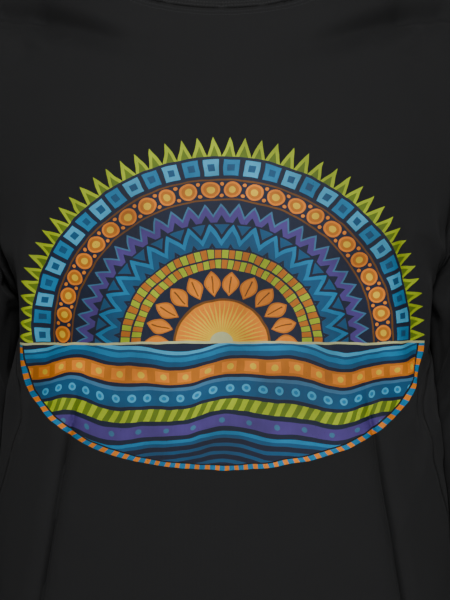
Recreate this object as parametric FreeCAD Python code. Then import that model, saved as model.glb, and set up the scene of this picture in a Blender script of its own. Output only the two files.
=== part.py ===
"""Loose long-sleeved jersey shirt, in the shape that it takes on its wearer.

The shirt is sewn from a front panel, a back panel, two sleeves, two ribbed cuffs, a ribbed neckband
and a tape over the back neck seam. Its shoulders drop onto the upper arms, its neck is wide and
shallow, its armpits are low and its body flares to the hem.

Millimetres. The origin is midway between the two points where the shoulder seams meet the neckband,
+Z is up, -Y is the front and +X is the wearer's left. Nearly everything hangs below the origin.
"""
import FreeCAD
import Part
import math
import os

V = FreeCAD.Vector

# Cloth
CLOTH = 1.2                 # jersey, with its nap
RIB = 2.4                   # ribbed knit, two layers
RIB_PROUD = 0.6             # how far the ribs stand out of the jersey beside them
TAPE = 0.8                  # woven neck tape
TAPE_GAP = 0.2              # between the tape and the jersey that it is stitched to
HEM_FOLD = 22.0             # height of the turned-up hem

# Neck, seen from the front
NECK_HALF_WIDTH = 115.0     # at the shoulder seams
NECK_FRONT_DROP = 85.0
NECK_BOTTOM_RADIUS = 270.0  # of the shallow middle of the front neckline
NECK_CORNER_RADIUS = 62.0   # where it turns up to the shoulders
NECK_BACK_DROP = 20.0
NECKBAND_WIDTH = 18.0
NECK_TAPE_WIDTH = 12.0

# Shoulders and armholes, seen from the front
SHOULDER_Z = 2.0            # the shoulder seam where it meets the neckband
ARMPIT = (178.0, -318.0)

# Lengths
HEM_Z = -700.0
CUFF_LENGTH = 55.0
OVERSHOOT = 40.0            # how far a cutting solid passes what it cuts
FAR = 500.0                 # beyond the whole shirt

# Body below the armpits: how far down from armpit to hem, half width, and how far it reaches to the
# front and to the back. The first level is beyond the hem.
LOWER_BODY = [
    # down, half_width, front, back
    (1.12, 237.0, 147.0, 148.0),
    (1.00, 228.0, 147.0, 146.5),
    (0.86, 218.0, 146.5, 145.0),
    (0.72, 209.0, 146.0, 142.5),
    (0.57, 200.0, 144.5, 139.5),
    (0.42, 192.5, 142.5, 136.0),
    (0.28, 187.5, 140.5, 133.0),
    (0.14, 185.5, 139.0, 130.5),
    (0.00, 186.0, 136.5, 128.0),
]

# Body above the armpits: height, the same three sizes, and the share of a wall's thickness by which
# the level also moves up, where the shoulders slope. The last level is beyond the neckband.
UPPER_BODY = [
    # z, half_width, front, back, lift
    (-262.0, 192.0, 131.0, 124.5, 0.0),
    (-210.0, 203.0, 122.0, 120.5, 0.0),
    (-160.0, 217.0, 109.0, 113.0, 0.0),
    (-120.0, 229.0, 95.0, 103.0, 0.1),
    (-90.0, 234.0, 82.5, 91.0, 0.2),
    (-66.0, 224.0, 73.5, 81.5, 0.5),
    (-45.0, 197.0, 66.5, 75.0, 0.6),
    (-20.0, 154.5, 59.0, 68.0, 0.6),
    (SHOULDER_Z, NECK_HALF_WIDTH, 52.5, 62.0, 0.6),
    (SHOULDER_Z + 0.6 * NECKBAND_WIDTH, NECK_HALF_WIDTH - NECKBAND_WIDTH, 49.0, 58.5, 0.6),
    (SHOULDER_Z + 1.2 * NECKBAND_WIDTH, NECK_HALF_WIDTH - 2 * NECKBAND_WIDTH, 45.5, 55.0, 0.6),
]
RING_POINTS = 24
SQUARENESS = 2.4            # 2 is an ellipse, more is squarer

# Left sleeve, down the arm: centre, and half the width across and from front to back. The cuff is
# sewn to the last.
SLEEVE_SECTIONS = [
    # x, y, z, half_across, half_deep
    (172.0, 3.0, -84.0, 26.0, 26.0),
    (184.0, 3.0, -106.0, 46.0, 48.0),
    (194.0, 3.0, -140.0, 56.0, 59.0),
    (210.0, 5.0, -225.0, 60.0, 65.0),
    (231.0, 1.0, ARMPIT[1], 51.0, 62.5),
    (243.0, -12.0, -440.0, 49.5, 59.5),
    (250.0, -33.0, -555.0, 45.0, 48.0),
    (253.0, -45.0, -608.0, 39.0, 39.0),
]
CUFF_END_RADIUS = 36.0

# The seams between front and back, seen from the side: over the shoulder, down to the armpit, and
# forward of the side from the waist down
SEAM_LINE = [(6.0, 0.0), (0.0, ARMPIT[1]), (-52.0, -480.0), (-52.0, HEM_Z)]


def closed_curve(points):
    """A smooth closed curve through points that lie evenly round it."""
    curve = Part.BSplineCurve()
    knots = [i / RING_POINTS for i in range(RING_POINTS + 1)]
    curve.interpolate(Points=points, PeriodicFlag=True, Parameters=knots)
    return Part.Wire([curve.toShape()])


def ring(z, half_width, front, back, lift, grow):
    """A level closed curve round the body, moved outwards by grow."""
    a = half_width + grow
    b = (front + back) / 2 + grow
    middle = (back - front) / 2
    points = []
    for i in range(RING_POINTS):
        turn = 2 * math.pi * (i + 0.5) / RING_POINTS
        x = math.copysign(abs(math.cos(turn)) ** (2 / SQUARENESS), math.cos(turn))
        y = math.copysign(abs(math.sin(turn)) ** (2 / SQUARENESS), math.sin(turn))
        points.append(V(a * x, middle + b * y, z + lift * grow))
    return closed_curve(points)


def body_form(grow):
    """The solid that the shirt's body wraps, moved outwards by grow and running on below the hem."""
    length = ARMPIT[1] - HEM_Z
    sections = [(ARMPIT[1] - down * length, a, front, back, 0.0) for down, a, front, back in LOWER_BODY]
    return Part.makeLoft([ring(*section, grow) for section in sections + UPPER_BODY], True, False)


def mirrored(shape):
    """The like shape on the wearer's right."""
    return shape.mirror(V(0, 0, 0), V(1, 0, 0))


def sleeve_end():
    """The end of the left sleeve's middle line, and the direction that it runs in there."""
    before, end = [V(*section[:3]) for section in SLEEVE_SECTIONS[-2:]]
    return end, (end - before).normalize()


def oval(centre, along, half_across, half_deep):
    """A closed curve round the arm, square to the direction along the sleeve."""
    deep = along.cross(V(1, 0, 0)).normalize()
    across = deep.cross(along).normalize()
    points = []
    for i in range(RING_POINTS):
        turn = 2 * math.pi * i / RING_POINTS
        points.append(centre + across * (half_across * math.cos(turn)) + deep * (half_deep * math.sin(turn)))
    return closed_curve(points)


def sleeve_form(grow):
    """The solid that the left sleeve wraps, running on beyond the cuff seam."""
    end, ending = sleeve_end()
    centres = [V(*section[:3]) for section in SLEEVE_SECTIONS] + [end + ending * OVERSHOOT]
    halves = [section[3:] for section in SLEEVE_SECTIONS] + [SLEEVE_SECTIONS[-1][3:]]
    wires = []
    for i, (half_across, half_deep) in enumerate(halves):
        along = centres[min(i + 1, len(centres) - 1)] - centres[max(i - 1, 0)]
        wires.append(oval(centres[i], along, half_across + grow, half_deep + grow))
    return Part.makeLoft(wires, True, False)


def cuff_form(grow, overshoot):
    """The solid that the left cuff wraps, running on by overshoot at both ends."""
    end, along = sleeve_end()
    radius = SLEEVE_SECTIONS[-1][3]
    slope = (radius - CUFF_END_RADIUS) / CUFF_LENGTH
    length = CUFF_LENGTH + 2 * overshoot
    wide = radius + grow + slope * overshoot
    return Part.makeCone(wide, wide - slope * length, length, end - along * overshoot, along)


def from_front(outline):
    """An outline given as (x, z) points or as edges, made solid through the whole shirt along Y."""
    if isinstance(outline[0], tuple):
        wire = Part.makePolygon([V(x, 0, z) for x, z in outline + outline[:1]])
    else:
        wire = Part.Wire(outline)
    face = Part.Face(wire)
    face.translate(V(0, -FAR, 0))
    return face.extrude(V(0, 2 * FAR, 0))


def front_zone():
    """Everything in front of the shoulder and side seams."""
    points = [(-FAR, OVERSHOOT), (SEAM_LINE[0][0], OVERSHOOT)] + SEAM_LINE
    points += [(SEAM_LINE[-1][0], HEM_Z - 2 * OVERSHOOT), (-FAR, HEM_Z - 2 * OVERSHOOT)]
    wire = Part.makePolygon([V(-FAR, y, z) for y, z in points + points[:1]])
    return Part.Face(wire).extrude(V(2 * FAR, 0, 0))


def front_neck(inset):
    """The front neck opening, its outline moved inwards by inset."""
    half = NECK_HALF_WIDTH - inset
    bottom = NECK_BOTTOM_RADIUS - inset
    corner = NECK_CORNER_RADIUS - inset
    middle_z = NECK_BOTTOM_RADIUS - NECK_FRONT_DROP
    corner_x = NECK_HALF_WIDTH - NECK_CORNER_RADIUS
    apart = NECK_BOTTOM_RADIUS - NECK_CORNER_RADIUS
    corner_z = middle_z - (apart ** 2 - corner_x ** 2) ** 0.5
    along = V(corner_x, 0, corner_z - middle_z) * (1.0 / apart)
    touch = V(0, 0, middle_z) + along * bottom
    slant = V(along.x + 1, 0, along.z).normalize()
    through = V(corner_x, 0, corner_z) + slant * corner
    edges = [
        Part.Arc(V(-touch.x, 0, touch.z), V(0, 0, middle_z - bottom), touch).toShape(),
        Part.Arc(touch, through, V(half, 0, corner_z)).toShape(),
        Part.makeLine(V(half, 0, corner_z), V(half, 0, OVERSHOOT)),
        Part.makeLine(V(half, 0, OVERSHOOT), V(-half, 0, OVERSHOOT)),
        Part.makeLine(V(-half, 0, OVERSHOOT), V(-half, 0, corner_z)),
        Part.Arc(V(-half, 0, corner_z), V(-through.x, 0, through.z), V(-touch.x, 0, touch.z)).toShape(),
    ]
    return from_front(edges)


def back_neck(inset):
    """The back neck opening, its outline moved inwards by inset."""
    drop = NECK_BACK_DROP + SHOULDER_Z
    radius = (NECK_HALF_WIDTH ** 2 + drop ** 2) / (2 * drop)
    middle_z = radius - NECK_BACK_DROP
    half = NECK_HALF_WIDTH - inset
    end_z = middle_z - ((radius - inset) ** 2 - half ** 2) ** 0.5
    ends = [V(half, 0, end_z), V(half, 0, OVERSHOOT), V(-half, 0, OVERSHOOT), V(-half, 0, end_z)]
    arc = Part.Arc(ends[3], V(0, 0, middle_z - radius + inset), ends[0]).toShape()
    return from_front([arc] + [Part.makeLine(ends[i], ends[i + 1]) for i in range(3)])


def below(z):
    """Everything below a height."""
    return Part.makeBox(2 * FAR, 2 * FAR, FAR, V(-FAR, -FAR, z - FAR))


def body_shell():
    """The cloth of the body as one wall, doubled where the hem is turned up."""
    single = body_form(-CLOTH).cut(below(HEM_Z + HEM_FOLD))
    return body_form(0.0).cut(single).cut(body_form(-2 * CLOTH)).cut(below(HEM_Z))


def sleeve_tube():
    """The left sleeve, from the armhole to the cuff."""
    end, ending = sleeve_end()
    beyond = Part.makeCylinder(FAR / 2, FAR, end, ending)
    return sleeve_form(0.0).cut(body_form(-CLOTH)).cut(sleeve_form(-CLOTH)).cut(beyond)


def neckband():
    """The ribbed band round the neck, in one piece."""
    band = body_form(RIB_PROUD).cut(body_form(RIB_PROUD - RIB))
    front = band.common(front_zone()).common(front_neck(0.0)).cut(front_neck(NECKBAND_WIDTH))
    back = band.cut(front_zone()).common(back_neck(0.0)).cut(back_neck(NECKBAND_WIDTH))
    return front.fuse(back)


def neck_tape():
    """The tape that covers the back neck seam on the inside."""
    outside = -CLOTH - TAPE_GAP
    layer = body_form(outside).cut(body_form(outside - TAPE)).cut(front_zone())
    return layer.common(back_neck(-NECK_TAPE_WIDTH)).cut(back_neck(0.0))


def largest(shape):
    """The one solid that a piece is, without slivers that a cut leaves."""
    return max(shape.Solids, key=lambda solid: solid.Volume)


def main():
    in_front = front_zone()
    arm = sleeve_form(0.0)
    body = body_shell().cut(arm).cut(mirrored(arm))
    sleeve = sleeve_tube()
    cuff = cuff_form(RIB_PROUD, 0.0).cut(cuff_form(RIB_PROUD - RIB, OVERSHOOT))
    pieces = {
        "front_panel": body.common(in_front).cut(front_neck(0.0)),
        "back_panel": body.cut(in_front).cut(back_neck(0.0)),
        "sleeve_left": sleeve,
        "sleeve_right": mirrored(sleeve),
        "cuff_left": cuff,
        "cuff_right": mirrored(cuff),
        "neckband": neckband(),
        "neck_tape": neck_tape(),
    }
    os.makedirs("parts", exist_ok=True)
    for name, shape in pieces.items():
        piece = largest(shape)
        piece.exportStep("parts/" + name + ".step")
        sizes = [round(solid.Volume) for solid in shape.Solids]
        print(name, "valid", piece.isValid(), "volumes", sizes, "faces", len(piece.Faces))


main()
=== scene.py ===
"""A loose black long-sleeved t-shirt, worn, with a fan and waves printed on the chest."""
import math
from functools import partialmethod
import bmesh
import bpy
import numpy as np
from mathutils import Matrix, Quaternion, Vector
from mathutils.bvhtree import BVHTree
from mathutils.kdtree import KDTree


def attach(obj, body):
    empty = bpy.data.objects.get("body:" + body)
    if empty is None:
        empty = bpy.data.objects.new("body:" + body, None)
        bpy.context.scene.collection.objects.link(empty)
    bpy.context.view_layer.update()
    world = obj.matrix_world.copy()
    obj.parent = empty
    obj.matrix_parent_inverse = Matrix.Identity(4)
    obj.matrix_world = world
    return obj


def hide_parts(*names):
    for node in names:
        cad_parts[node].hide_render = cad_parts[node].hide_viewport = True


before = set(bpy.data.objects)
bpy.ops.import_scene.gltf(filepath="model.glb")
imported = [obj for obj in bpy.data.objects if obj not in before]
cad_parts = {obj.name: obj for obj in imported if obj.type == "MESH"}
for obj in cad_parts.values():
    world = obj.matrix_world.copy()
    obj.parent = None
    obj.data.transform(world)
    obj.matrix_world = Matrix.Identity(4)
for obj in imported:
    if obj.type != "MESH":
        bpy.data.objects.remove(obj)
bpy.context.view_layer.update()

MM = 0.001

# ---------------- the shirt's measures, in millimetres
JERSEY_THICKNESS = 1.2
RIB_THICKNESS = 2.4
TAPE_THICKNESS = 0.8
SQUARENESS = 2.4  # 2 is an ellipse, more is boxier

# the sewn shirt before it is worn, its sleeves held out: height, half width, depth in front, depth behind
SHIRT = [
    (-740, 238, 151, 141), (-700, 229, 150, 138), (-646, 217, 149, 135.5), (-593, 208, 148, 132),
    (-536, 206, 146, 128.5), (-478, 203, 144, 126), (-425, 200, 142.5, 124.5), (-385, 198, 141, 124),
    (-345, 197, 139, 124), (-290, 211, 134, 123), (-230, 225, 128, 121), (-170, 238, 117, 116),
    (-125, 247, 102, 106), (-90, 252, 85, 92), (-66, 254, 75, 82), (-56, 252, 71, 79),
    (-45, 221, 67, 75), (-20, 160, 59, 68), (2, 115, 52.5, 62), (12.8, 97, 49, 58.5), (23.6, 79, 45.5, 55)]
# how far the side seam is carried forward of the shirt's side: height, distance round the shirt
SEAM_FORWARD = [
    (-700, 30), (-600, 38), (-523, 52), (-480, 68), (-440, 84), (-425, 82), (-405, 62), (-376, 24),
    (-350, 0), (-300, 0)]
ARMPIT_Z = -345
SHOULDER_POINT_Z = -56
SHOULDER_Z = 2
HEM_Z = -700
ARMHOLE_DEPTH = 34
ARMHOLE_FULLNESS = 0.9  # under 1, the armhole's curve is fuller than a sine's
NECK_HALF_WIDTH = 115
NECK_FRONT_DROP = 85
NECK_BOTTOM_RADIUS = 270
NECK_CORNER_RADIUS = 62
NECK_BACK_DROP = 20
NECKBAND_WIDTH = 18
NECKBAND_RISE = 0.6  # how much the band climbs for each millimetre that it runs in at the shoulder
SLEEVE_RADII = [(0, 84), (0.25, 74), (0.5, 61), (0.75, 49), (0.9, 40), (1, 36)]  # share of length, radius
SLEEVE_ROUND_BY = 0.4  # the share of the sleeve over which the armhole's shape turns round
SLEEVE_TOP_RADIUS = 94  # of a ring about as long as the armhole, for the sleeve's width on the cut
CUFF_RADII = [(0, 40), (1, 36.5), (5, 35.5)]  # rows below the sleeve, radius
ELBOW_EASE = 80  # how far from the elbow the sleeve starts to turn
FOREARM_CLOTH = 300  # sleeve and cuff below the elbow

# how finely the cloth is cut
SHOULDER_CELLS = 13
NECK_CELLS = 14
SIDE_CELLS = 36
ARMHOLE_CELLS = 26
HALF_PANEL_CELLS = SHOULDER_CELLS + NECK_CELLS
PANEL_ROWS = SIDE_CELLS + ARMHOLE_CELLS
BAND_ROWS = 2
CUFF_ROWS = 5
SLEEVE_CELL = 10.8
SPREADING_PASSES = 60  # how often the cells are evened out
SEAM_WELD = 0.4  # points of two cuts that are this close are sewn together

# how finely lines are followed before they are divided into cells
OUTLINE_POINTS = 64
NECK_ARC_POINTS = 12
NECK_CORNER_POINTS = 14
BACK_NECK_POINTS = 16
SHOULDER_POINTS = 60
ARMHOLE_POINTS = 80

# the wearer: height, half width, depth in front, depth behind
WEARER = [
    (-760, 232, 132, 126), (-700, 222, 138, 128), (-620, 211, 140, 124), (-540, 205, 138, 121),
    (-470, 196, 135, 117), (-420, 190, 132, 114), (-373, 177, 131, 111), (-345, 167, 131, 111),
    (-324, 177, 131, 113), (-302, 195, 130, 115), (-250, 205, 126, 115), (-190, 206, 113, 112),
    (-130, 203, 93, 102), (-100, 199, 79, 90), (-75, 188, 68, 79), (-55, 170, 61, 73), (-35, 142, 56, 67),
    (-18, 112, 51, 61), (0, 82, 46, 55), (18, 64, 46, 52), (50, 58, 50, 50)]
SHOULDER_JOINT = Vector((178, 3, -100)) * MM
ELBOW = Vector((236, 10, -366)) * MM
WRIST = Vector((256, -52, -688)) * MM
ARM_RADII = [(0, 52), (0.17, 52), (0.35, 47), (0.5, 44), (0.65, 43), (0.85, 35), (1, 31)]
SHOULDER_RADIUS = 52
SHOULDER_LIFTS = (80, 60, 40, 20)  # the rings of the ball, in degrees above its middle
WEARER_SQUARENESS = 2.3
BODY_CELLS = 48
ARM_CELLS = 28
ARMS_RAISED = math.radians(43)

FRONT, BACK, SLEEVE_LEFT, SLEEVE_RIGHT, CUFF_LEFT, CUFF_RIGHT, NECKBAND = range(7)


def table_at(table, value):
    """The other columns of a table, read off at a value of its first."""
    rows = np.array(sorted(table), float)
    return [float(np.interp(value, rows[:, 0], rows[:, k])) for k in range(1, rows.shape[1])]


# ---------------- the pattern
def quarter(z):
    """A quarter of the shirt's outline at a height: across, out from the middle, distance round."""
    half, front, behind = table_at(SHIRT, z)
    turn = np.linspace(0, math.pi / 2, OUTLINE_POINTS)
    x = half * np.sin(turn) ** (2 / SQUARENESS)
    y = (front + behind) / 2 * np.cos(turn) ** (2 / SQUARENESS)
    along = np.concatenate([[0], np.cumsum(np.hypot(np.diff(x), np.diff(y)))])
    return x, y, along, (behind - front) / 2


def on_shirt(s, z, back):
    """The place of a point of the cut: s round from the middle of the front or back, z up."""
    x, y, along, middle = quarter(z)
    far = abs(s)
    if far > along[-1]:
        far, back = 2 * along[-1] - far, not back
    out = float(np.interp(far, along, y))
    across = float(np.interp(far, along, x))
    return Vector((math.copysign(across, s), middle + (out if back else -out), z)) * MM


def round_to(across, z):
    """The distance round, from the middle, to a point this far across."""
    x, y, along, middle = quarter(z)
    return float(np.interp(min(across, x[-1]), x, along))


def round_to_depth(depth, z):
    """The distance round, from the middle, to a point this far out from the shirt's side-to-side line."""
    x, y, along, middle = quarter(z)
    return float(np.interp(depth, y[::-1], along[::-1]))


def distances(points):
    """How far along a line each of its points is."""
    return np.concatenate([[0], np.cumsum(np.linalg.norm(np.diff(points, axis=0), axis=1))])


def evenly(points, count):
    """Points spaced evenly along a line."""
    points = np.array(points, float)
    steps = distances(points)
    marks = np.linspace(0, steps[-1], count)
    return np.stack([np.interp(marks, steps, points[:, k]) for k in range(points.shape[1])], 1)


def front_neck(inset):
    """Half of the front neck, from the middle to the shoulder, as across and up."""
    middle = NECK_BOTTOM_RADIUS - NECK_FRONT_DROP
    corner_x = NECK_HALF_WIDTH - NECK_CORNER_RADIUS
    reach = NECK_BOTTOM_RADIUS - NECK_CORNER_RADIUS
    corner_z = middle - math.sqrt(reach ** 2 - corner_x ** 2)
    meet = math.asin(corner_x / reach)
    bottom, corner = NECK_BOTTOM_RADIUS - inset, NECK_CORNER_RADIUS - inset
    line = [(bottom * math.sin(t), middle - bottom * math.cos(t))
            for t in np.linspace(0, meet, NECK_ARC_POINTS)]
    line += [(corner_x + corner * math.sin(t), corner_z - corner * math.cos(t))
             for t in np.linspace(meet, math.pi / 2, NECK_CORNER_POINTS)[1:]]
    line.append((NECK_HALF_WIDTH - inset, SHOULDER_Z + inset * NECKBAND_RISE))
    return evenly(line, NECK_CELLS + 1)


def back_neck(inset):
    """Half of the back neck, a single shallow arc."""
    drop = NECK_BACK_DROP + SHOULDER_Z
    radius = (NECK_HALF_WIDTH ** 2 + drop ** 2) / (2 * drop)
    half = NECK_HALF_WIDTH - inset
    line = [((radius - inset) * math.sin(t), radius - NECK_BACK_DROP - (radius - inset) * math.cos(t))
            for t in np.linspace(0, math.asin(half / (radius - inset)), BACK_NECK_POINTS)]
    line[-1] = (half, SHOULDER_Z + inset * NECKBAND_RISE)
    return evenly(line, NECK_CELLS + 1)


def panel_cut(back):
    """The cut of half a panel, as s and z for each column from the middle and each row from the hem."""
    def side(z):
        forward = table_at(SEAM_FORWARD, z)[0]
        return quarter(z)[2][-1] + (forward if back else -forward)

    columns = HALF_PANEL_CELLS + 1
    bottom = np.stack([np.linspace(0, side(HEM_Z), columns), np.full(columns, HEM_Z)], 1)
    neck = [(round_to(x, z), z) for x, z in (back_neck if back else front_neck)(0)]
    levels = np.linspace(SHOULDER_Z, SHOULDER_POINT_Z, SHOULDER_POINTS)
    shoulder = evenly([(table_at(SHIRT, z)[0], z, quarter(z)[2][-1]) for z in levels], SHOULDER_CELLS + 1)
    top = np.array(neck[:-1] + [(s, z) for x, z, s in shoulder])
    seam = [(side(z), z) for z in np.linspace(HEM_Z, ARMPIT_Z, SIDE_CELLS + 1)]
    armhole = []
    for t in np.linspace(0, 1, ARMHOLE_POINTS):
        z = ARMPIT_Z + (SHOULDER_POINT_Z - ARMPIT_Z) * (0.5 - 0.5 * math.cos(math.pi * t))
        s = round_to_depth(ARMHOLE_DEPTH * math.sin(math.pi * t) ** ARMHOLE_FULLNESS, z)
        armhole.append((*on_shirt(s, z, back), s, z))
    armhole = np.array(armhole)
    steps = distances(armhole[:, :3])
    marks = np.linspace(0, steps[-1], ARMHOLE_CELLS + 1)[1:]
    seam += [(np.interp(m, steps, armhole[:, 3]), np.interp(m, steps, armhole[:, 4])) for m in marks]
    seam = np.array(seam)
    middle = np.stack([np.zeros(PANEL_ROWS + 1), np.linspace(HEM_Z, top[0][1], PANEL_ROWS + 1)], 1)
    u = np.linspace(0, 1, columns)[:, None, None]
    v = np.linspace(0, 1, PANEL_ROWS + 1)[None, :, None]
    cut = (1 - v) * bottom[:, None] + v * top[:, None] + (1 - u) * middle[None] + u * seam[None]
    cut -= (1 - u) * (1 - v) * bottom[0] + u * (1 - v) * bottom[-1] + (1 - u) * v * top[0] + u * v * top[-1]
    for _ in range(SPREADING_PASSES):
        cut[1:-1, 1:-1] = (cut[:-2, 1:-1] + cut[2:, 1:-1] + cut[1:-1, :-2] + cut[1:-1, 2:]) / 4
        cut[0, 1:-1, 1] = (cut[0, :-2, 1] + cut[0, 2:, 1] + 2 * cut[1, 1:-1, 1]) / 4
    return cut


def lay_out(bm, columns, rows, place, piece_of_row):
    """Cuts a grid of cloth and lays it out; place gives each point and where it is on the cut."""
    grid = bmesh.ops.create_grid(bm, x_segments=columns, y_segments=rows, size=1)
    on_cut = bm.loops.layers.uv["cut"]
    flat, row_of = {}, {}
    for index, point in enumerate(grid["verts"]):
        row_of[point], column = divmod(index, columns + 1)
        point.co, flat[point] = place(column, row_of[point])
    for face in {face for point in grid["verts"] for face in point.link_faces}:
        face.material_index = piece_of_row(min(row_of[point] for point in face.verts))
        for loop in face.loops:
            loop[on_cut].uv = flat[loop.vert]


def raised(point):
    """A point of the hanging left arm, with the arm raised."""
    return SHOULDER_JOINT + Quaternion((0, 1, 0), -ARMS_RAISED) @ (point - SHOULDER_JOINT)


def sleeve_line(start, elbow, end, share):
    """A point of the sleeve's middle line, which turns gently at the elbow."""
    upper, lower, ease = (elbow - start).length, (end - elbow).length, ELBOW_EASE * MM
    far = share * (upper + lower)
    if far < upper - ease:
        return start.lerp(elbow, far / upper)
    if far > upper + ease:
        return elbow.lerp(end, (far - upper) / lower)
    k = (far - upper + ease) / (2 * ease)
    before, after = start.lerp(elbow, (upper - ease) / upper), elbow.lerp(end, ease / lower)
    return (1 - k) ** 2 * before + 2 * k * (1 - k) * elbow + k * k * after


def sew_sleeve(bm, armhole, side):
    """A sleeve and its cuff, on the armhole's points from the armpit up the front and down the back."""
    mirror = Vector((side, 1, 1))
    count = len(armhole)
    start = (armhole[0] + armhole[ARMHOLE_CELLS]) / 2
    elbow = raised(ELBOW)
    end = elbow + (raised(WRIST) - elbow).normalized() * FOREARM_CLOTH * MM
    elbow, end = elbow * mirror, end * mirror
    total = (elbow - start).length + (end - elbow).length
    rows = round(total / (SLEEVE_CELL * MM))
    sleeve_rows = rows - CUFF_ROWS
    around = sum((armhole[i] - armhole[i - 1]).length for i in range(count))
    step = 0.01

    def place(column, row):
        k = column % count
        share = row / rows
        if row == 0:
            return armhole[k], ((column / count - 0.5) * around, 0)
        centre = sleeve_line(start, elbow, end, share)
        along = (sleeve_line(start, elbow, end, min(1, share + step))
                 - sleeve_line(start, elbow, end, max(0, share - step))).normalized()
        up = (Vector((0, 0, 1)) - along * along.z).normalized()
        radius = table_at(SLEEVE_RADII, share)[0] * MM
        if row > sleeve_rows:
            radius = table_at(CUFF_RADII, row - sleeve_rows)[0] * MM
        turn = 2 * math.pi * k / count
        out = -up * math.cos(turn) + Vector((0, -1, 0)) * math.sin(turn)
        out = (out - along * out.dot(along)).normalized() * radius
        ease = min(1, share / SLEEVE_ROUND_BY)
        ease = ease * ease * (3 - 2 * ease)
        width = 2 * math.pi * (radius * ease + SLEEVE_TOP_RADIUS * MM * (1 - ease))
        point = centre + (armhole[k] - start) * (1 - ease) + out * ease
        return point, ((column / count - 0.5) * width, -share * total)

    sleeve, cuff = (SLEEVE_LEFT, CUFF_LEFT) if side > 0 else (SLEEVE_RIGHT, CUFF_RIGHT)
    lay_out(bm, count, rows, place, lambda row: cuff if row >= sleeve_rows else sleeve)


def sew_shirt():
    """The whole shirt as sewn, in its own shape."""
    bm = bmesh.new()
    bm.loops.layers.uv.new("cut")
    edges = {}
    half_run = {back: distances(neck(0))[-1] for back, neck in ((False, front_neck), (True, back_neck))}
    for back in (False, True):
        cut = panel_cut(back)
        neck = back_neck if back else front_neck
        way = -1 if back else 1

        def panel_place(column, row):
            k = (column - HALF_PANEL_CELLS) * way
            s, z = cut[abs(k), row]
            s = math.copysign(s, k) if k else 0.0
            return on_shirt(s, z, back), (s * MM, z * MM)

        def band_place(column, row):
            k = (column - NECK_CELLS) * way
            x, z = neck(NECKBAND_WIDTH * row / BAND_ROWS)[abs(k)]
            point = on_shirt(math.copysign(round_to(x, z), k) if k else 0.0, z, back)
            run = k / NECK_CELLS * half_run[back] + (half_run[False] + half_run[True] if back else 0)
            return point, (run * MM, row / BAND_ROWS * NECKBAND_WIDTH * MM)

        lay_out(bm, 2 * HALF_PANEL_CELLS, PANEL_ROWS, panel_place, lambda row: BACK if back else FRONT)
        lay_out(bm, 2 * NECK_CELLS, BAND_ROWS, band_place, lambda row: NECKBAND)
        edges[back] = cut[HALF_PANEL_CELLS, SIDE_CELLS:]
    for side in (1, -1):
        front = [on_shirt(side * s, z, False) for s, z in edges[False]]
        behind = [on_shirt(side * s, z, True) for s, z in edges[True]]
        sew_sleeve(bm, front + behind[-2:0:-1], side)
    bmesh.ops.remove_doubles(bm, verts=bm.verts, dist=SEAM_WELD * MM)
    bmesh.ops.recalc_face_normals(bm, faces=bm.faces)
    return as_object(bm, "worn_shirt")


def in_scene(name, data):
    """A new object, put in the scene."""
    made = bpy.data.objects.new(name, data)
    bpy.context.scene.collection.objects.link(made)
    return made


def as_object(bm, name):
    """An object of this mesh."""
    mesh = bpy.data.meshes.new(name)
    bm.to_mesh(mesh)
    bm.free()
    return in_scene(name, mesh)


def settled(thing):
    """The mesh that an object's modifiers make."""
    return bpy.data.meshes.new_from_object(thing.evaluated_get(bpy.context.evaluated_depsgraph_get()))


# ---------------- the wearer, who is taken away again
def tube(name, around, rings):
    """A closed body through rings, each a function from the turn to a point."""
    bm = bmesh.new()
    grid = bmesh.ops.create_grid(bm, x_segments=around, y_segments=len(rings) - 1, size=1)
    for index, point in enumerate(grid["verts"]):
        row, column = divmod(index, around + 1)
        point.co = rings[row](2 * math.pi * (column % around) / around)
    bmesh.ops.remove_doubles(bm, verts=bm.verts, dist=0.01 * MM)
    bmesh.ops.holes_fill(bm, edges=[edge for edge in bm.edges if edge.is_boundary])
    bmesh.ops.recalc_face_normals(bm, faces=bm.faces)
    return as_object(bm, name)


def wearer_body():
    """The body from below the hem to the neck."""
    def ring(z, half, front, behind):
        def squared(share):
            return math.copysign(abs(share) ** (2 / WEARER_SQUARENESS), share)

        middle, reach = (behind - front) / 2, (front + behind) / 2
        return lambda turn: Vector((half * squared(math.cos(turn)),
                                    middle + reach * squared(math.sin(turn)), z)) * MM

    return tube("wearer_body", BODY_CELLS, [ring(*row) for row in WEARER])


def wearer_arm(side):
    """An arm from a ball at the shoulder to the wrist, hanging, its middle on the shoulder's joint."""
    mirror = Vector((side, 1, 1))
    upper = (ELBOW - SHOULDER_JOINT).normalized()
    rings = []

    def ring(centre, along, radius):
        front = (Vector((0, 1, 0)) - along * along.y).normalized()
        out = front.cross(along).normalized()
        return lambda turn: (centre + (out * math.cos(turn) + front * math.sin(turn)) * radius) * mirror

    for lift in map(math.radians, SHOULDER_LIFTS):
        ball = SHOULDER_RADIUS * MM
        rings.append(ring(-upper * ball * math.sin(lift), upper, ball * math.cos(lift)))
    for share, radius in ARM_RADII:
        if share <= 0.5:
            centre = SHOULDER_JOINT.lerp(ELBOW, share * 2)
        else:
            centre = ELBOW.lerp(WRIST, share * 2 - 1)
        along = upper if share < 0.5 else ((WRIST - ELBOW).normalized() if share > 0.5
                                          else (WRIST - SHOULDER_JOINT).normalized())
        rings.append(ring(centre - SHOULDER_JOINT, along, radius * MM))
    arm = tube("wearer_arm", ARM_CELLS, rings)
    arm.location = SHOULDER_JOINT * mirror
    return arm


# frames of the simulation
LOWERED_BY = 35
WORN_BY = 56


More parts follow.
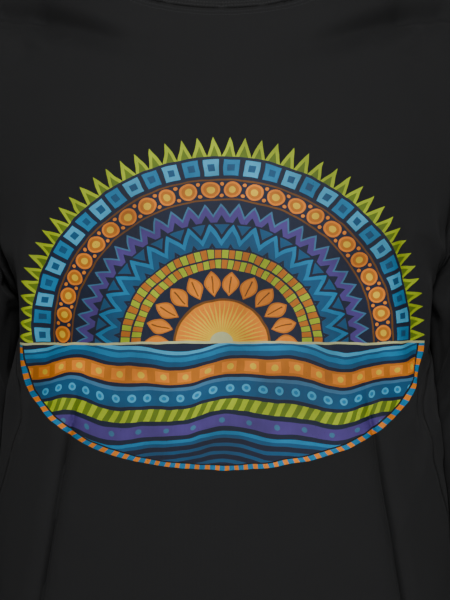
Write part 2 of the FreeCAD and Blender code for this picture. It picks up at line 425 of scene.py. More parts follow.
def put_on(shirt):
    """Lets the sewn shirt hang on the wearer, who lowers both arms, and keeps the shape it takes."""
    scene = bpy.context.scene
    arms = {side: wearer_arm(side) for side in (1, -1)}
    helpers = [wearer_body(), *arms.values()]
    for side, arm in arms.items():
        for at, share in ((1, 1), (3, 1), (LOWERED_BY, 0)):
            arm.rotation_euler = (0, -side * ARMS_RAISED * share, 0)
            arm.keyframe_insert("rotation_euler", frame=at)
    for helper in helpers:
        helper.modifiers.new("solid", "COLLISION")
        helper.collision.thickness_outer = 0.002
        helper.collision.thickness_inner = 0.02
        helper.collision.cloth_friction = 6
        helper.collision.damping = 0.1
    band = {point for face in shirt.data.polygons if face.material_index == NECKBAND
            for point in face.vertices}
    shirt.vertex_groups.new(name="held").add(list(band), 1.0, "REPLACE")
    cloth = shirt.modifiers.new("cloth", "CLOTH")
    fabric, touch = cloth.settings, cloth.collision_settings
    fabric.quality = 6
    fabric.mass = 0.15
    fabric.tension_stiffness = fabric.compression_stiffness = 15
    fabric.shear_stiffness = 5
    fabric.bending_stiffness = 0.6
    fabric.tension_damping = fabric.compression_damping = fabric.shear_damping = 5
    fabric.bending_damping = 0.5
    fabric.air_damping = 2
    fabric.vertex_group_mass = "held"
    touch.distance_min = touch.self_distance_min = 0.002
    touch.collision_quality = 3
    touch.use_self_collision = True
    touch.self_friction = 3
    cloth.point_cache.frame_start, cloth.point_cache.frame_end = 1, WORN_BY
    scene.frame_start, scene.frame_end = 1, WORN_BY
    for at in range(1, WORN_BY + 1):
        scene.frame_set(at)
    worn = settled(shirt)
    shirt.modifiers.clear()
    shirt.vertex_groups.clear()
    shirt.data = worn
    for helper in helpers:
        if helper.animation_data:
            bpy.data.actions.remove(helper.animation_data.action)
        bpy.data.objects.remove(helper)
    scene.frame_set(1)


shirt = sew_shirt()
put_on(shirt)


# ---------------- folds, seams and stitching
def refined(thing):
    """A mesh of the object with each cell divided in four and smoothed."""
    finer = thing.modifiers.new("finer", "SUBSURF")
    finer.levels = finer.render_levels = 1
    bm = bmesh.new()
    bm.from_mesh(settled(thing))
    bm.verts.ensure_lookup_table()
    return bm


whole = refined(shirt)

# soft folds on both sides: width and depth, then points across and up, each with its share of the depth
SOFT_FOLDS = [
    (9, 20.0, [(222, -79, 0.5), (201, -77, 0.85), (164, -80, 1.0), (138, -93, 0.85), (103, -107, 0.45),
               (84, -113, 0.2), (58, -121, 0.0)]),
    (8, 4.0, [(189, -88, 0.0), (184, -98, 1.0), (174, -117, 0.7), (169, -130, 0.0)]),
    (7, 5.0, [(170, -84, 0.0), (160, -93, 1.0), (143, -107, 0.7), (134, -116, 0.0)]),
    (16, 3.0, [(88, -104, 0.0), (62, -115, 1.0), (30, -128, 0.8), (12, -137, 0.0)])]
FOLD_SLACK = 1.5  # a fold falls away more gently below its line
FOLD_REACH = 2.3  # widths on each side
FOLDS_FROM_Z = -200
FOLDS_FRONT_Y = (0, -26)
FOLD_CALM = 0.5
FOLD_CALM_PASSES = 8

# the two sharp creases under the print, across and up
CREASE_TOP = (129, -446)
CREASE_BOTTOM = (172, -700)
CREASE_DEPTH = 10.0
CREASE_WIDTH = 3.0
CREASE_CUTS = (-3.2, -1.6, -0.7, 0, 0.7, 1.6, 3.2)  # edges beside the crease, in its widths
CREASE_CELL = 9
CREASE_LEAD = 45
CREASE_STARTS = (-0.16, 0.1)
CREASE_SOFTENS = (0.6, 1.0)
RIDGE_OUT = 16
RIDGE_WIDTH = 10
RIDGE_SHARE = 0.3

# where the cloth is calmed: each pair is where that begins and where it is full
CHEST_Z = (-285, -235)
CHEST_X = (235, 205)
MIDDLE_X = (150, 112)
FRONT_Y = (-8, -34)
CALM_SHARE = 0.6
CALM_PASSES = 70

SLEEVE_REST = 10.0  # how far a sleeve's inner side may move in to rest on the body
SLEEVE_LOOK = 30  # how far in the body is looked for
REST_BOTTOM_Z = (-620, -570)
REST_TOP_Z = (-400, -440)
SHEET_GAP = 0.6
CUT_JUMP = 100  # a step on the cut that only the seam under an arm makes


def from_line(x, z, x0, z0, x1, z1):
    """How far a point is off a line, signed, and the share along it."""
    length = math.hypot(x1 - x0, z1 - z0)
    dx, dz = (x1 - x0) / length, (z1 - z0) / length
    return (x - x0) * dz - (z - z0) * dx, ((x - x0) * dx + (z - z0) * dz) / length


def fade(value, start, end):
    """0 at start, 1 at end, eased."""
    k = np.clip((value - start) / (end - start), 0.0, 1.0)
    return k * k * (3 - 2 * k)


def points_of(*kinds):
    """The points of these kinds of piece."""
    return {point for face in whole.faces if face.material_index in kinds for point in face.verts}


def calm(weight, times):
    """Takes small ripples out of the cloth where the weight is above nothing."""
    place = np.array([point.co for point in whole.verts])
    pairs = np.array([[end.index for end in edge.verts] for edge in whole.edges])
    near = np.bincount(pairs.ravel(), minlength=len(place))[:, None]
    for _ in range(times):
        total = np.zeros_like(place)
        np.add.at(total, pairs[:, 0], place[pairs[:, 1]])
        np.add.at(total, pairs[:, 1], place[pairs[:, 0]])
        place += weight[:, None] * (total / near - place)
    for point, spot in zip(whole.verts, place):
        point.co = spot


def calm_cloth():
    """The chest and the middle of the front hang smooth; the band stays as it is."""
    whole.verts.index_update()
    place = np.array([point.co for point in whole.verts]) / MM
    x, y, z = np.abs(place[:, 0]), place[:, 1], place[:, 2]
    chest = fade(z, *CHEST_Z) * fade(x, *CHEST_X)
    weight = np.maximum(chest, fade(x, *MIDDLE_X)) * fade(y, *FRONT_Y) * CALM_SHARE
    kept = points_of(NECKBAND) | {point for point in whole.verts if point.is_boundary}
    weight[[point.index for point in kept]] = 0
    calm(weight, CALM_PASSES)


def press_creases():
    """Cuts edges along each crease and presses it in, with a ridge outside it."""
    (x0, z0), (x1, z1) = CREASE_TOP, CREASE_BOTTOM
    for side in (1, -1):
        across = Vector((side * (z0 - z1), 0, (x1 - x0))).normalized()
        for off in CREASE_CUTS:
            off *= CREASE_WIDTH
            near = []
            for face in whole.faces:
                middle = face.calc_center_median() / MM
                if (face.material_index == FRONT and middle.z < z0 + CREASE_LEAD
                        and abs(from_line(side * middle.x, middle.z, x0, z0, x1, z1)[0] + off) < CREASE_CELL):
                    near.append(face)
            edges = {edge for face in near for edge in face.edges}
            points = {point for face in near for point in face.verts}
            bmesh.ops.bisect_plane(whole, geom=[*near, *edges, *points], dist=0.1 * MM, plane_no=across,
                                   plane_co=Vector((side * x0, 0, z0)) * MM + across * off * MM)
    for point in points_of(FRONT):
        off, share = from_line(abs(point.co.x) / MM, point.co.z / MM, *CREASE_TOP, *CREASE_BOTTOM)
        strength = fade(share, *CREASE_STARTS) * (1 - 0.5 * fade(share, *CREASE_SOFTENS))
        valley = CREASE_DEPTH * math.exp(-abs(off) / CREASE_WIDTH)
        ridge = RIDGE_SHARE * CREASE_DEPTH * math.exp(-((-off - RIDGE_OUT) / RIDGE_WIDTH) ** 2)
        point.co.y += (valley - ridge) * strength * MM


def off_fold(point, width, line):
    """How far a point is off a fold's line, in widths, and the fold's share of its depth there."""
    x, z = abs(point.co.x) / MM, point.co.z / MM
    best, share = math.inf, 0
    for (x0, z0, s0), (x1, z1, s1) in zip(line, line[1:]):
        along = ((x - x0) * (x1 - x0) + (z - z0) * (z1 - z0)) / ((x1 - x0) ** 2 + (z1 - z0) ** 2)
        along = min(1, max(0, along))
        above = z - z0 - along * (z1 - z0)
        far = math.hypot(x - x0 - along * (x1 - x0), above) / (width if above > 0 else width * FOLD_SLACK)
        if far < best:
            best, share = far, s0 + (s1 - s0) * along
    return best, share


def soft_folds():
    """Cuts the cloth finer along the soft folds and presses them in; the shoulder seam stays as it is."""
    def in_front(point):
        return fade(point.co.y / MM, *FOLDS_FRONT_Y)

    def near(point):
        return (point.co.y < 0 and point.co.z > FOLDS_FROM_Z * MM
                and any(off_fold(point, width, line)[0] < FOLD_REACH for width, depth, line in SOFT_FOLDS))

    finer = [edge for edge in whole.edges if near(edge.verts[0]) and near(edge.verts[1])]
    bmesh.ops.subdivide_edges(whole, edges=finer, cuts=1, use_grid_fill=True)
    whole.verts.index_update()
    calm(np.array([FOLD_CALM * near(point) * in_front(point) for point in whole.verts]), FOLD_CALM_PASSES)
    whole.normal_update()
    for point in whole.verts:
        if near(point):
            for width, depth, line in SOFT_FOLDS:
                far, share = off_fold(point, width, line)
                point.co -= point.normal * depth * share * in_front(point) * MM * math.exp(-far ** 2)


def rest_sleeves():
    """Lets the inner side of each sleeve come to rest against the body."""
    whole.verts.index_update()
    spots = [tuple(point.co) for point in whole.verts]
    body = BVHTree.FromPolygons(spots, [[point.index for point in face.verts] for face in whole.faces
                                        if face.material_index in (FRONT, BACK)])
    moves = {}
    for point in points_of(SLEEVE_LEFT, SLEEVE_RIGHT):
        side = math.copysign(1, point.co.x)
        height = point.co.z / MM
        inward = fade(-side * point.normal.x, 0.0, 0.5)
        weight = fade(height, *REST_BOTTOM_Z) * fade(height, *REST_TOP_Z) * inward
        gap = body.ray_cast(point.co, Vector((-side, 0, 0)), SLEEVE_LOOK * MM)[3]
        if weight > 0 and gap is not None:
            moves[point] = -side * max(0.0, min(gap - SHEET_GAP * MM, weight * SLEEVE_REST * MM))
    for point, move in moves.items():
        point.co.x += move


calm_cloth()
rest_sleeves()
press_creases()
whole.normal_update()
soft_folds()
whole.normal_update()


def distance_layer(name, edges):
    """Keeps each point's distance from the nearest of these edges."""
    layer = whole.verts.layers.float.new(name)
    ends = []
    for edge in edges:
        a, b = (end.co for end in edge.verts)
        ends += [a.lerp(b, t) for t in (0, 0.25, 0.5, 0.75)]
    tree = KDTree(len(ends))
    for index, end in enumerate(ends):
        tree.insert(end, index)
    tree.balance()
    for point in whole.verts:
        point[layer] = tree.find(point.co)[2]


def pieces_of(edge):
    """The kinds of piece that meet at an edge."""
    return {face.material_index for face in edge.link_faces}


def is_seam(edge):
    """Whether two pieces meet at an edge, or the two sides of a sleeve under the arm."""
    kinds = pieces_of(edge)
    if len(kinds) != 1 or len(edge.link_faces) != 2:
        return len(kinds) == 2
    loop = edge.link_loops[0]
    step = loop[on_cut].uv.x - loop.link_loop_radial_next.link_loop_next[on_cut].uv.x
    return bool(kinds & {SLEEVE_LEFT, SLEEVE_RIGHT}) and abs(step) > CUT_JUMP * MM


on_cut = whole.loops.layers.uv["cut"]
seams = [edge for edge in whole.edges if is_seam(edge)]
hems = [edge for edge in whole.edges if edge.is_boundary and pieces_of(edge) & {FRONT, BACK}]
distance_layer("from_seam", seams)
distance_layer("from_neck", [edge for edge in seams if NECKBAND in pieces_of(edge)])
distance_layer("from_edge", hems)


# ---------------- the pieces
HEM_FOLD = 22
RIB_PITCH = 2.36
RIB_HEIGHT = 0.5
CUFF_CUTS = 3  # how often a cell is divided across its ribs
NECKBAND_CUTS = 7
TAPE_WIDTH = 13
TAPE_GAP = 0.3


def piece_mesh(kind):
    """A copy of the whole, with only this kind of face kept."""
    bm = whole.copy()
    bmesh.ops.delete(bm, geom=[face for face in bm.faces if face.material_index != kind], context="FACES")
    for face in bm.faces:
        face.material_index = 0
        face.smooth = True
    return bm


def finish_piece(bm, name, node, thickness, hemmed=False):
    """A finished piece with its wall, which is doubled where a hem is turned up."""
    made = as_object(bm, name)
    if hemmed:
        group = made.vertex_groups.new(name="doubled")
        for point in made.data.vertices:
            far = made.data.attributes["from_edge"].data[point.index].value
            group.add([point.index], 1.0 if far < HEM_FOLD * MM else 0.0, "REPLACE")
    if thickness:
        wall = made.modifiers.new("wall", "SOLIDIFY")
        wall.thickness = thickness * MM * (2 if hemmed else 1)
        wall.offset = -1
        if hemmed:
            wall.vertex_group = "doubled"
            wall.thickness_vertex_group = 0.5
    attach(made, "root")
    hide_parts(node)
    return made


def rib_mesh(bm, cuts):
    """Divides a rib piece across its ribs, gives it its wall and raises the ribs on both faces."""
    layer = bm.loops.layers.uv["cut"]
    across = []
    for edge in bm.edges:
        loop = edge.link_loops[0]
        a, b = loop[layer].uv, loop.link_loop_next[layer].uv
        if abs(a.x - b.x) > abs(a.y - b.y):
            across.append(edge)
    bmesh.ops.subdivide_edges(bm, edges=across, cuts=cuts, use_grid_fill=False)
    bm.normal_update()
    bmesh.ops.solidify(bm, geom=list(bm.faces), thickness=RIB_THICKNESS * MM)
    bm.normal_update()
    for point in bm.verts:
        run = point.link_loops[0][layer].uv.x
        point.co += point.normal * RIB_HEIGHT / 2 * MM * math.cos(2 * math.pi * run / (RIB_PITCH * MM))
    return bm


def neck_tape_mesh():
    """A strip along the inside of the back neck."""
    bm = piece_mesh(BACK)
    layer = bm.verts.layers.float["from_neck"]
    beyond = [face for face in bm.faces if max(point[layer] for point in face.verts) > TAPE_WIDTH * MM]
    bmesh.ops.delete(bm, geom=beyond, context="FACES")
    bm.normal_update()
    on_cut = bm.loops.layers.uv["cut"]
    for face in bm.faces:
        for loop in face.loops:
            loop[on_cut].uv.y = loop.vert[layer]
    for point in bm.verts:
        point.co -= point.normal * (JERSEY_THICKNESS + TAPE_GAP) * MM
    return bm


BODY_NODES = ["front_panel", "back_panel"]
looks = {}
for look, name, node, kind, rests_on in (
        ("printed", "front_jersey", "front_panel", FRONT, ["neckband"]),
        ("jersey", "back_jersey", "back_panel", BACK, ["neckband"]),
        ("sleeve", "left_sleeve_jersey", "sleeve_left", SLEEVE_LEFT, BODY_NODES),
        ("sleeve", "right_sleeve_jersey", "sleeve_right", SLEEVE_RIGHT, BODY_NODES),
        ("rib", "left_cuff_rib", "cuff_left", CUFF_LEFT, ["sleeve_left"]),
        ("rib", "right_cuff_rib", "cuff_right", CUFF_RIGHT, ["sleeve_right"]),
        ("rib", "neck_rib", "neckband", NECKBAND, BODY_NODES)):
    if look == "rib":
        mesh = rib_mesh(piece_mesh(kind), NECKBAND_CUTS if kind == NECKBAND else CUFF_CUTS)
        piece = finish_piece(mesh, name, node, 0)
    else:
        piece = finish_piece(piece_mesh(kind), name, node, JERSEY_THICKNESS,
                             kind in (FRONT, BACK))
    looks[piece] = look
looks[finish_piece(neck_tape_mesh(), "neck_tape_cloth", "neck_tape", TAPE_THICKNESS)] = "tape"
bpy.data.objects.remove(shirt)
whole.free()


# ---------------- materials
def feed(value, socket):
    """Joins a wire or another socket to this one, or sets a plain value on it."""
    if isinstance(value, Wire):
        value = value.socket
    if isinstance(value, bpy.types.NodeSocket):
        socket.id_data.links.new(value, socket)
    else:
        socket.default_value = value


def set_up(node, **values):
    """Sets or joins a node's inputs, with underscores for the spaces in their labels."""
    for label, value in values.items():
        feed(value, node.inputs[label.replace("_", " ")])


class Wire:
    """A value in a material, so that a drawing rule reads as plain sums."""

    def __init__(self, socket):
        self.tree, self.socket = socket.id_data, socket

    def by(self, operation, *others):
        """What a sum makes of this and the others."""
        node = self.tree.nodes.new("ShaderNodeMath")
        node.operation = operation
        for slot, value in enumerate((self, *others)):
            feed(value, node.inputs[slot])
        return Wire(node.outputs[0])

    __add__ = partialmethod(by, "ADD")
    __sub__ = partialmethod(by, "SUBTRACT")
    __mul__ = partialmethod(by, "MULTIPLY")
    __truediv__ = partialmethod(by, "DIVIDE")
    __gt__ = partialmethod(by, "GREATER_THAN")
    __lt__ = partialmethod(by, "LESS_THAN")
    __and__ = partialmethod(by, "MULTIPLY")
    __or__ = partialmethod(by, "MAXIMUM")
    sine = partialmethod(by, "SINE")
    size = partialmethod(by, "ABSOLUTE")
    share = partialmethod(by, "FRACT")

    def off(self):
        """1 where this is 0."""
        return Wire.known(self.tree, 1) - self

    def eased(self, start, end):
        """0 at start, 1 at end, eased."""
        node = self.tree.nodes.new("ShaderNodeMapRange")
        node.interpolation_type = "SMOOTHSTEP"
        set_up(node, Value=self, From_Min=start, From_Max=end)
        return Wire(node.outputs["Result"])

    @staticmethod
    def known(tree, value):
        """A plain value as a wire."""
        node = tree.nodes.new("ShaderNodeValue")
        node.outputs[0].default_value = value
        return Wire(node.outputs[0])


def wires(node):
    """A node's outputs by their names."""
    return {socket.name: Wire(socket) for socket in node.outputs}


def new_group(name, takes, gives):
    """A node group: what it takes, each with its value or None for a place, and the kinds that it gives."""
    tree = bpy.data.node_groups.new(name, "ShaderNodeTree")
    for label, value in takes.items():
        kind = "NodeSocketVector" if value is None else "NodeSocketFloat"
        socket = tree.interface.new_socket(label, in_out="INPUT", socket_type=kind)
        if value is not None:
            socket.default_value = value
    for label, kind in gives.items():
        tree.interface.new_socket(label, in_out="OUTPUT", socket_type="NodeSocket" + kind)
    entry, leave = tree.nodes.new("NodeGroupInput"), tree.nodes.new("NodeGroupOutput")
    return tree, wires(entry), leave


def place_group(tree, which, **values):
    """A group placed in a material, with its own values."""
    node = tree.nodes.new("ShaderNodeGroup")
    node.node_tree = which
    set_up(node, **values)
    return wires(node)


def noise(tree, place, scale, detail=2.0, roughness=0.5):
    """Cloudy unevenness, 0 to 1."""
    node = tree.nodes.new("ShaderNodeTexNoise")
    set_up(node, Vector=place, Scale=scale, Detail=detail, Roughness=roughness)
    return Wire(node.outputs["Fac"])


def linear(*screen):
    """A colour given as on a screen, 0 to 255."""
    return tuple((c / 255 / 12.92) if c <= 10 else ((c / 255 + 0.055) / 1.055) ** 2.4 for c in screen) + (1,)


def toned(base, share):
    """The base colour, lighter or darker."""
    return tuple(value * share for value in base[:3]) + (1,)


def blend(tree, under, over, amount):
    """One colour laid over another by an amount."""
    node = tree.nodes.new("ShaderNodeMix")
    node.data_type = "RGBA"
    sockets = {socket.identifier: socket for socket in node.inputs}
    for value, label in ((under, "A_Color"), (over, "B_Color"), (amount, "Factor_Float")):
        feed(value, sockets[label])
    return next(socket for socket in node.outputs if socket.identifier == "Result_Color")


def knit_group():
    """Jersey: columns of small V stitches, seen as a fine grain."""
    tree, takes, leave = new_group("knit", {"Across": 0.0, "Along": 0.0, "Column": 1.1, "Row": 0.9},
                                   {"Height": "Float", "Stitch": "Float"})
    across = takes["Across"] / takes["Column"]
    along = takes["Along"] / takes["Row"]
    in_column = (across.share() - 0.5).size() * 2
    yarn = (along + in_column * 0.9).share() - 0.5
    height = (in_column.off().by("POWER", 0.6)) * (yarn * yarn * 4).off()
    set_up(leave, Height=height, Stitch=in_column.off())
    return tree


def wear_group():
    """Broad unevenness of dyed cotton, and the small lint on it."""
    tree, takes, leave = new_group("dyed_cotton", {"Place": None}, {"Shade": "Float", "Lint": "Float"})
    place = takes["Place"]
    set_up(leave, Shade=noise(tree, place, 38, 3) * 0.6 + noise(tree, place, 7, 2) * 0.4,
           Lint=noise(tree, place, 900, 1, 0.4).eased(0.72, 0.8))
    return tree


def seam_group():
    """The dip of a seam with the fold of cloth under it, the twin stitching beside an edge, and painted shade
    along the seam.
    """
    tree, takes, leave = new_group("seams", {"From seam": 1.0, "From row": 1.0, "Run": 0.0},
                                   {"Height": "Float", "Thread": "Float", "Groove": "Float"})
    seam = takes["From seam"] * 1000
    dip = seam.eased(0.0, 1.6) - 1
    fold = seam.eased(1.0, 2.5) * seam.eased(7.5, 5.0)
    row = takes["From row"] * 1000
    run = (takes["Run"] * 1000 / 2.8).share()
    stitch = (row.size() < 0.55) & (run < 0.74)
    sunk = row.size().eased(1.6, 0.0)
    # the last output is the painted shade along the seam's dip
    set_up(leave, Height=dip * 0.9 + fold * 0.25 - sunk * 0.35 + stitch * 0.3, Thread=stitch,
           Groove=seam.eased(1.7, 0.3))
    return tree


NAVY, DEEP_BLUE, TEAL = linear(10, 25, 54), linear(10, 84, 128), linear(0, 130, 182)
LIGHT_BLUE, PALE_BLUE, VIOLET = linear(62, 176, 222), linear(62, 120, 160), linear(80, 60, 140)
ORANGE, OCHRE, BROWN = linear(255, 142, 0), linear(208, 118, 0), linear(118, 70, 0)
LIME, OLIVE = linear(178, 202, 0), linear(104, 130, 0)
YELLOW, CREAM = linear(255, 206, 20), linear(204, 208, 150)

PRINT_HALF_WIDTH = 175
HUB_Z = -373  # how high on the cut the fan's hub is
WAVES_DEPTH = 108
PRINT_SPREAD = 1.13  # the drawing is drawn out across the cloth, which curves away at the sides
HAND_WAVER = 3  # how far the lines waver


def print_group():
    """The chest print: a half round fan of rings over a field of waves, in millimetres."""
    tree, takes, leave = new_group("fan_and_waves", {"Across": 0.0, "Up": 0.0},
                                   {"Colour": "Color", "Ink": "Float"})
    to_place = tree.nodes.new("ShaderNodeCombineXYZ")
    set_up(to_place, X=takes["Across"], Y=takes["Up"])
    place = to_place.outputs[0]
    hand = noise(tree, place, 60, 1)
    x = takes["Across"] * (1000 / PRINT_SPREAD) + (hand - 0.5) * HAND_WAVER
    y = takes["Up"] * 1000 - HUB_Z + (noise(tree, place, 47, 1) - 0.5) * HAND_WAVER
    radius = (x * x + y * y).by("SQRT")
    turn = x.by("ARCTAN2", y) / math.pi  # -0.5 to 0.5 over the fan
    above, below = y > 1.0, y < -1.0
    picture, ink = NAVY, Wire.known(tree, 0.0)

    def lay(colour, mask):
        nonlocal picture, ink
        picture = blend(tree, picture, colour, mask)
        ink = ink | mask

    def ring(inner, outer):
        return (radius > inner) & (radius < outer) & above

    def beat(count, shift=0.0):
        return (turn * count + shift).share() - 0.5

    def across_ring(inner, outer):
        return (radius - inner) / (outer - inner)

    def bead(count, middle, size, shift=0.0):
        side = beat(count, shift) * math.pi * middle / count
        out = radius - middle
        return ((side * side + out * out) < size * size) & above

    def outer_points(edges=(158, PRINT_HALF_WIDTH)):
        lay(NAVY, ring(0, edges[0]))
        up = across_ring(*edges)
        side = beat(44).size() * 2
        point = ring(*edges) & (side < up.off())
        lay(LIME, point)
        lay(OLIVE, point & (side < (up.off() - 0.45)))

    def blocks(edges=(141.5, 155.5)):
        block = ring(*edges) & (beat(30).size() < 0.38)
        lay(TEAL, block)
        lay(LIGHT_BLUE, block & (beat(15).by("GREATER_THAN", 0.0)))
        lay(DEEP_BLUE, ring(edges[0] + 4, edges[1] - 4) & (beat(30).size() < 0.17))

    def round_beads(edges=(120, 138.5), middle=129.3):
        lay(BROWN, ring(*edges))
        lay(NAVY, ring(edges[0] + 1.5, edges[1] - 1.5))
        for colour, size in ((ORANGE, 6.9), (OCHRE, 5.2), (YELLOW, 2.9)):
            lay(colour, bead(24, middle, size))
        lay(ORANGE, bead(24, middle + 5, 1.5, 0.5) | bead(24, middle - 5, 1.5, 0.5))

    def zigzag(edges=(101, 118)):
        tooth = across_ring(*edges) - beat(28).size() * 2 * 0.6
        lay(VIOLET, ring(*edges) & (tooth.size() < 0.24))
        lay(PALE_BLUE, ring(*edges) & ((tooth - 0.3).size() < 0.07))

    def chevrons(edges=(79.5, 99.5)):
        chevron = (across_ring(80, 100) + beat(18).size() * 1.3).share()
        lay(DEEP_BLUE, ring(*edges) & (chevron > 0.2))
        lay(TEAL, ring(*edges) & (chevron > 0.72))

    def checks(edges=(62, 78)):
        check = (beat(22) > 0.0).by("ADD", across_ring(*edges) > 0.5).by("COMPARE", 1.0, 0.1)
        here = ring(*edges)
        lay(LIME, here & check)
        lay(OCHRE, here & check.off())
        lay(NAVY, ring(69.2, 70.8) | (here & (beat(44).size() > 0.44)))

    def petals(edges=(39, 60)):
        body = (across_ring(*edges) * math.pi).sine() * 0.46
        side = beat(11).size()
        lay(OCHRE, ring(*edges) & (side < body))
        lay(ORANGE, ring(*edges) & (side < (body - 0.09)))
        lay(BROWN, ring(edges[0] + 3, edges[1] - 4) & (side < 0.035))

    def half_sun(size=35):
        lay(BROWN, ring(0, size + 2))
        lay(ORANGE, ring(0, size))
        lay(YELLOW, ring(0, size) & ((beat(26).size() * 2) < across_ring(size, 8)))
        lay(CREAM, ring(0, 9))

    down = Wire.known(tree, 0.0) - y
    far = ((x * x) / PRINT_HALF_WIDTH ** 2 + (y * y) / WAVES_DEPTH ** 2).by("SQRT")
    swell = down + (x / 23 + down / 60).sine() * 5.0 + (x / 9.5 + 1.3).sine() * 1.6
    field = below & (far < 0.955)

    def band(top, bottom):
        return field & (swell > top) & (swell < bottom)

    def spots(top, bottom, pitch, size, shift=0.0):
        side = ((x / pitch + shift).share() - 0.5) * pitch
        out = swell - (top + bottom) / 2
        return field & ((side * side + out * out) < size * size)

    def waves():
        lay(NAVY, field)
        lay(DEEP_BLUE, band(2, 15))
        lay(LIGHT_BLUE, band(2, 5))
        lay(TEAL, band(7, 11))
        lay(OCHRE, band(18, 31))
        lay(ORANGE, band(20, 29) & ((x / 17).share() < 0.66))
        lay(YELLOW, spots(20, 29, 17, 2.6, 0.11))
        lay(PALE_BLUE, band(34, 37))
        lay(DEEP_BLUE, band(37, 50))
        lay(LIGHT_BLUE, spots(37, 50, 12.5, 3.3))
        lay(TEAL, spots(37, 50, 12.5, 1.6))
        lay(LIME, band(53, 63))
        lay(OLIVE, band(53, 63) & (((x / 9.0) + swell / 20).share() < 0.5))
        lay(VIOLET, band(67, 77))
        lay(PALE_BLUE, spots(66, 78, 21, 2.2, 0.5))
        lay(TEAL, band(81, 84))
        lay(DEEP_BLUE, band(84, 120) & ((swell / 7).share() < 0.42))

    def rim():
        edge = below & (far > 0.965) & (far < 1.0)
        side_turn = x.by("ARCTAN2", down) / math.pi
        lay(TEAL, edge)
        lay(ORANGE, edge & (((side_turn * 46).share() - 0.5).size() < 0.22))
        lay(CREAM, (y.size() < 1.0) & (x.size() < PRINT_HALF_WIDTH))

    for draw in (outer_points, blocks, round_beads, zigzag, chevrons, checks, petals, half_sun, waves, rim):
        draw()

    # sprayed shading and worn ink
    spray = noise(tree, place, 16, 3, 0.6).eased(0.25, 0.75) * 0.5 + 0.55
    shaded = tree.nodes.new("ShaderNodeVectorMath")
    shaded.operation = "SCALE"
    set_up(shaded, Vector=picture, Scale=spray)
    worn = noise(tree, place, 420, 4, 0.75).eased(0.66, 0.7)
    set_up(leave, Colour=shaded.outputs[0], Ink=ink & worn.off())
    return tree


KNIT, COTTON, SEAMS = knit_group(), wear_group(), seam_group()
NECK_STITCHES = (3.0, 6.0)  # rows of stitching, in millimetres from the neck seam
HEM_STITCHES = (18.0, 21.0)  # the same, from the hem
# the darker share serves both the dye's random mottling and the painted shade between the knit's stitch
# columns
DYE_DARK_AND_GAP_SHADE = 0.72  # shares of the base colour
DYE_LIGHT = 1.28
LINT_TONE = 2.2
THREAD_TONE = 1.7
# the painted shade along a seam, as a share of the base colour
SEAM_SHADE_TONE = 0.25
# how strongly the painted shade between the stitch columns shows
STITCH_GAP_SHADE_SHOWS = 0.35
LINT_SHOWS = 0.35
KNIT_SHOWS = 0.2
ROUGHNESS_RANGE = 0.08
INK_ROUGHNESS = 0.5


def cloth_material(name, base, roughness, sheen, column, row, depth, stitched=False, printed=False):
    """A knitted cotton: base colour, fine grain, seams and, on the front, the print."""
    material = bpy.data.materials.new(name)
    material.use_nodes = True
    tree = material.node_tree
    shader = tree.nodes["Principled BSDF"]
    set_up(shader, Sheen_Weight=sheen, Sheen_Roughness=0.5, Specular_IOR_Level=0.3)
    cut = tree.nodes.new("ShaderNodeUVMap")
    cut.uv_map = "cut"
    parts = tree.nodes.new("ShaderNodeSeparateXYZ")
    feed(cut.outputs[0], parts.inputs[0])
    run, up = wires(parts)["X"], wires(parts)["Y"]

    def kept(name):
        node = tree.nodes.new("ShaderNodeAttribute")
        node.attribute_name = name
        return Wire(node.outputs["Fac"])

    knit = place_group(tree, KNIT, Across=run * 1000, Along=up * 1000, Column=column, Row=row)
    cotton = place_group(tree, COTTON, Place=cut.outputs[0])
    rows = [(kept("from_neck"), at) for at in NECK_STITCHES]
    if stitched:
        rows += [(kept("from_edge"), at) for at in HEM_STITCHES]
    height = knit["Height"] * depth
    thread = Wire.known(tree, 0.0)
    for index, (far, at) in enumerate(rows):
        seam = place_group(tree, SEAMS, From_seam=kept("from_seam") if index == 0 else 1.0,
                           From_row=far - at * MM, Run=run)
        height = height + seam["Height"]
        thread = thread | seam["Thread"]
        if index == 0:
            seam_shade = seam["Groove"]
    colour = blend(tree, toned(base, DYE_DARK_AND_GAP_SHADE), toned(base, DYE_LIGHT), cotton["Shade"])
    # laid over the mottled base: painted shade between the stitch columns, lint, lighter thread, painted
    # shade along the seams
    for tone, amount in ((DYE_DARK_AND_GAP_SHADE, knit["Stitch"].off() * STITCH_GAP_SHADE_SHOWS),
                         (LINT_TONE, cotton["Lint"] * LINT_SHOWS),
                         (THREAD_TONE, thread), (SEAM_SHADE_TONE, seam_shade)):
        colour = blend(tree, colour, toned(base, tone), amount)
    rough = cotton["Shade"] * ROUGHNESS_RANGE + (roughness - ROUGHNESS_RANGE / 2)
    if printed:
        drawing = place_group(tree, print_group(), Across=run, Up=up)
        show = knit["Stitch"] * KNIT_SHOWS + (1 - KNIT_SHOWS)
        colour = blend(tree, colour, drawing["Colour"], drawing["Ink"] * show)
        rough = rough - drawing["Ink"] * (roughness - INK_ROUGHNESS)
    bump = tree.nodes.new("ShaderNodeBump")
    set_up(bump, Strength=0.8, Distance=1 * MM, Height=height)
    set_up(shader, Base_Color=colour, Roughness=rough, Normal=bump.outputs[0])
    return material


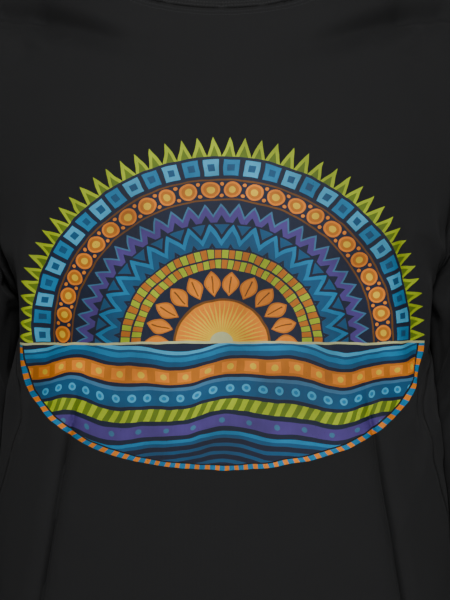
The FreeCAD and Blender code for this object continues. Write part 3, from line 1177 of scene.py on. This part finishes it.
BLACK = (0.0085, 0.0086, 0.0090, 1)
BLACK_RIB = (0.0115, 0.0115, 0.0118, 1)
BLACK_TAPE = (0.0080, 0.0080, 0.0084, 1)
JERSEY_LOOK = {"base": BLACK, "roughness": 0.86, "sheen": 0.02, "column": 1.1, "row": 0.9, "depth": 0.12}
RIB_LOOK = {"base": BLACK_RIB, "roughness": 0.88, "sheen": 0.03, "column": 1.18, "row": 0.8, "depth": 0.2}
TAPE_LOOK = {"base": BLACK_TAPE, "roughness": 0.9, "sheen": 0.02, "column": 0.8, "row": 0.5, "depth": 0.15}
materials = {
    "jersey": cloth_material("black_jersey", stitched=True, **JERSEY_LOOK),
    "sleeve": cloth_material("black_jersey_sleeve", **JERSEY_LOOK),
    "printed": cloth_material("printed_jersey", stitched=True, printed=True, **JERSEY_LOOK),
    "rib": cloth_material("black_rib", **RIB_LOOK),
    "tape": cloth_material("black_tape", **TAPE_LOOK)}
for piece, look in looks.items():
    piece.data.materials.clear()
    piece.data.materials.append(materials[look])


# ---------------- floor, light and camera
FLOOR_Z = -720
CHEST = (0, -0.1, -0.33)


def floor():
    """A pale floor just below the hem."""
    bm = bmesh.new()
    bmesh.ops.create_grid(bm, x_segments=1, y_segments=1, size=6)
    bmesh.ops.translate(bm, verts=bm.verts, vec=(0, 0, FLOOR_Z * MM))
    ground = as_object(bm, "studio_floor")
    paint = bpy.data.materials.new("pale_floor")
    paint.use_nodes = True
    set_up(paint.node_tree.nodes["Principled BSDF"], Base_Color=(0.72, 0.72, 0.71, 1), Roughness=0.8)
    ground.data.materials.append(paint)


def lamp(name, place, aim, size, power):
    """A round soft lamp that points at its aim."""
    data = bpy.data.lights.new(name, "AREA")
    data.shape, data.size, data.energy = "DISK", size, power
    made = in_scene(name, data)
    made.location = place
    made.rotation_euler = (Vector(aim) - Vector(place)).to_track_quat("-Z", "Y").to_euler()


floor()
lamp("front_softbox", (-0.15, -2.6, 1.25), CHEST, 0.9, 60)
lamp("fill_softbox", (0.9, -2.4, 0.0), CHEST, 1.2, 12)
lamp("rear_softbox", (0.4, 2.2, 1.3), (0, 0.1, -0.3), 1.2, 40)
world = bpy.data.worlds.new("studio")
bpy.context.scene.world = world
world.use_nodes = True
set_up(world.node_tree.nodes["Background"], Color=(0.85, 0.86, 0.88, 1), Strength=0.22)

view = bpy.data.cameras.new("chest_view")
view.lens, view.sensor_width = 141, 36
camera = in_scene("chest_view", view)
camera.location = (0.003, -2.135, -0.3395)
camera.rotation_euler = (math.pi / 2, 0, 0)
bpy.context.scene.camera = camera
